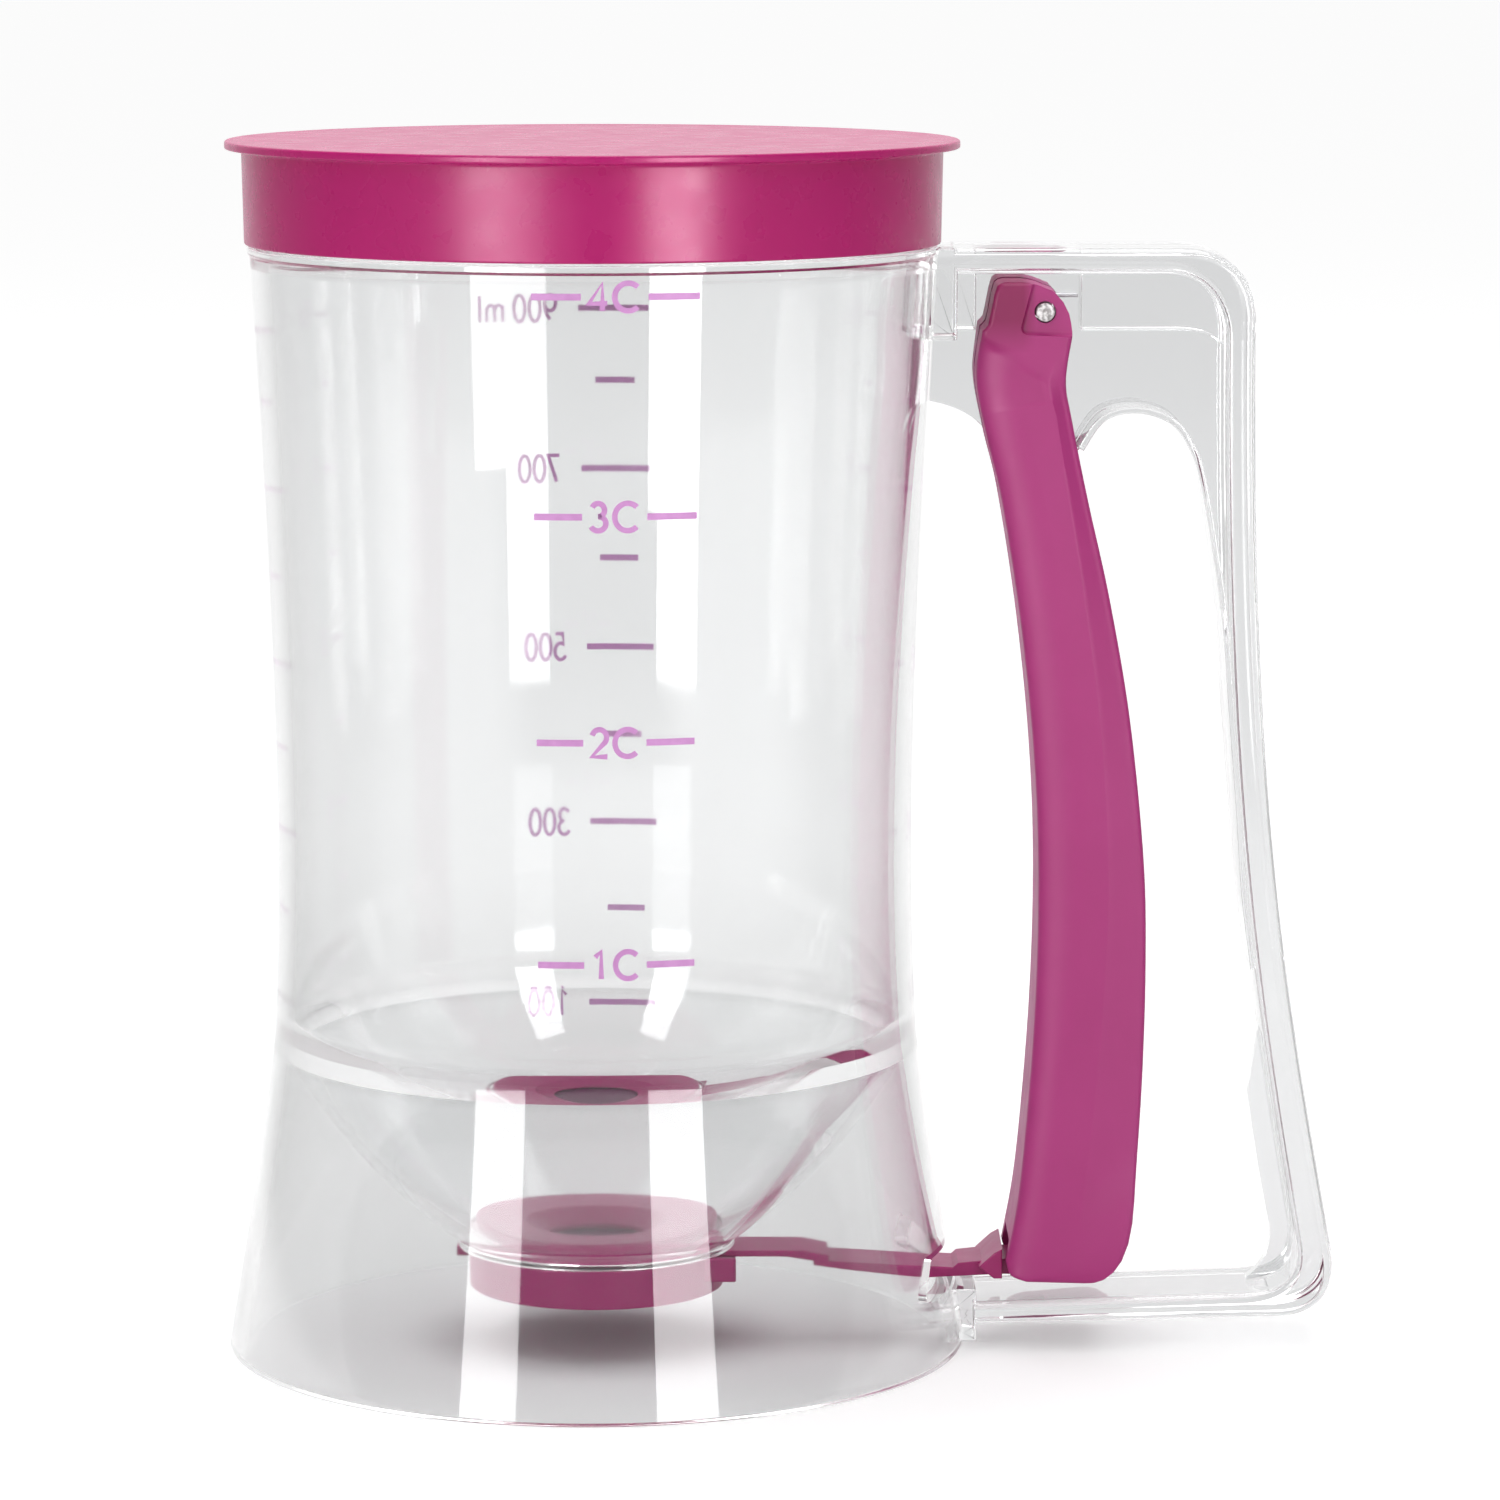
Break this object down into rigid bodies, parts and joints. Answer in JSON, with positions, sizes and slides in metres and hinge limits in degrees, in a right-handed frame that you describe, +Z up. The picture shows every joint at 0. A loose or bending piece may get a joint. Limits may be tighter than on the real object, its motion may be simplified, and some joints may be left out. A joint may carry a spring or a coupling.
{
  "type": "batter dispenser",
  "caption": "Clear jug with a funnel floor, a push-on lid, and a squeeze lever in its handle frame that pulls a flat shutter off the outlet.",
  "frame": {"origin": "on the surface that the jug stands on, under the middle of the whole outline", "axes": "+Z up along the jug's axis, +X from the jug towards the handle, +Y to the far side"},
  "size_m": [0.1747, 0.1168, 0.1904],
  "materials": {
    "clear_plastic": "clear, glossy, faintly grey moulded plastic",
    "purple_plastic": "reddish purple satin moulded plastic",
    "steel": "plain drawn steel wire and rod"
  },
  "bodies": {
    "body": {"jug": "clear_plastic", "handle_frame": "clear_plastic", "valve_seat": "purple_plastic", "valve_cup": "purple_plastic", "return_spring": "steel"},
    "lid": {"lid": "purple_plastic"},
    "trigger": {"trigger_lever": "purple_plastic", "pivot_pin": "steel"},
    "shutter": {"shutter_slide": "purple_plastic"}
  },
  "joints": [
    {"name": "lid_lift", "type": "slide", "parent": "body", "child": "lid", "axis": [0, 0, 1], "range_m": [0, 0.03]},
    {"name": "trigger_hinge", "type": "hinge", "parent": "body", "child": "trigger", "pos_m": [0.0409, 0, 0.1643], "axis": [0, -1, 0], "range_deg": [0, 7], "stiffness_Nm_per_rad": 1, "springref_deg": -5.73, "deforming": ["return_spring"]},
    {"name": "shutter_travel", "type": "slide", "parent": "body", "child": "shutter", "axis": [1, 0, 0], "range_m": [0, 0.0184]}
  ],
  "couplings": [
    {"joint": "shutter_travel", "follows": "trigger_hinge", "m_per_rad": 0.15}
  ]
}
